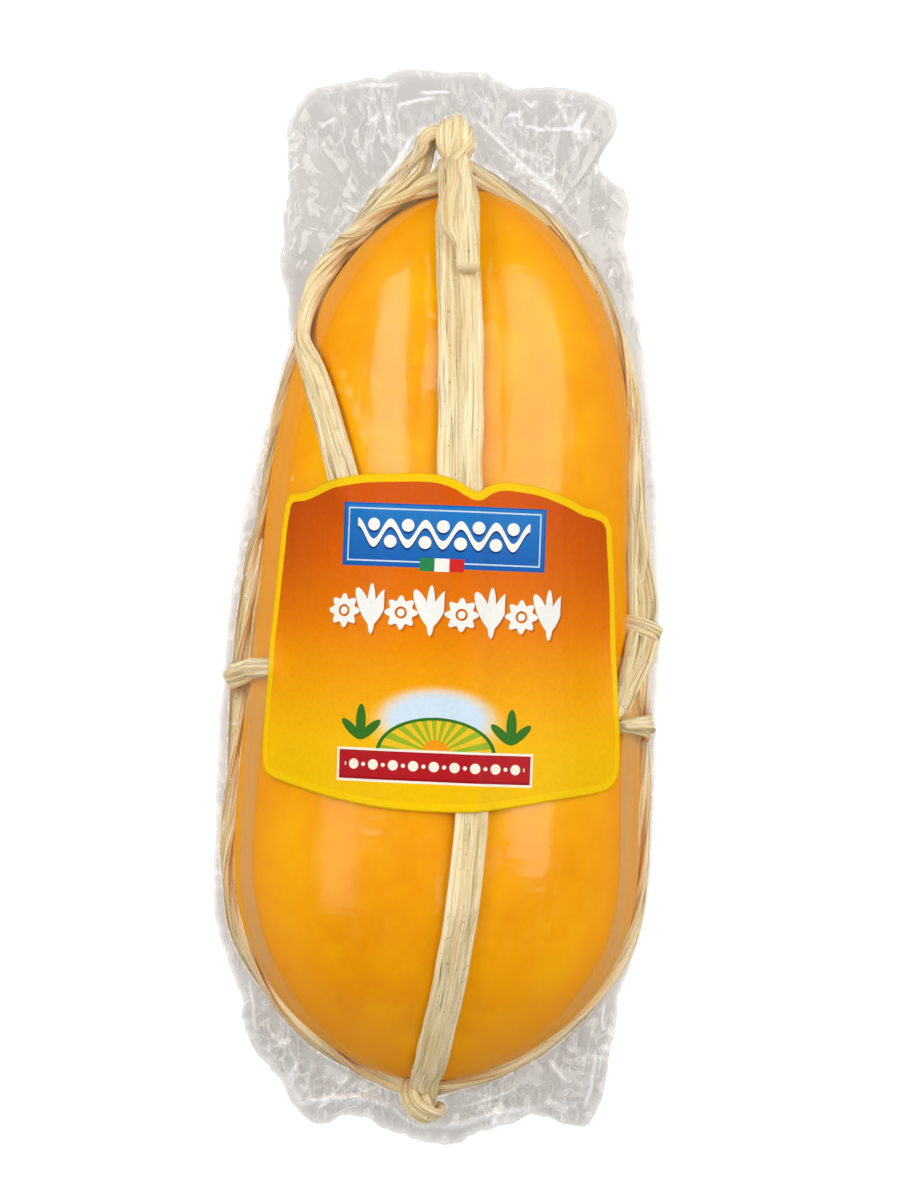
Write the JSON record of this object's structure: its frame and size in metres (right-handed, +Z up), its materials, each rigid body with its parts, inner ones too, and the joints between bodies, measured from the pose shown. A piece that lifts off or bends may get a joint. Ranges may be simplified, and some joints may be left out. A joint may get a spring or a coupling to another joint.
{
  "type": "smoked hanging cheese",
  "caption": "Plump smooth log of smoked cheese tied lengthwise in raffia, with a hanging knot, a label and a clear sealed bag with a crinkled flange.",
  "frame": {"origin": "on the ground under the middle of the bounding box, with the pack lying on its back", "axes": "+X across the pack, +Y along it towards the hanging knot, +Z up out of the label"},
  "size_m": [0.0922, 0.2228, 0.0792],
  "materials": {
    "rind": "smooth smoked rind, golden orange, with a satin shine",
    "raffia": "dry straw-coloured raffia ribbons with lengthwise fibres",
    "label": "printed glossy label, orange running to yellow",
    "film": "clear thin shrink film, crinkled where it is sealed"
  },
  "bodies": {
    "root": {"cheese": "rind", "knot_top": "raffia", "knot_lower": "raffia", "knot_right": "raffia", "raffia_front": "raffia", "raffia_back": "raffia", "raffia_left": "raffia", "raffia_right": "raffia", "raffia_girdle": "raffia", "raffia_lobe": "raffia", "raffia_tail": "raffia", "raffia_loop": "raffia", "label": "label", "bag": "film"}
  },
  "joints": []
}
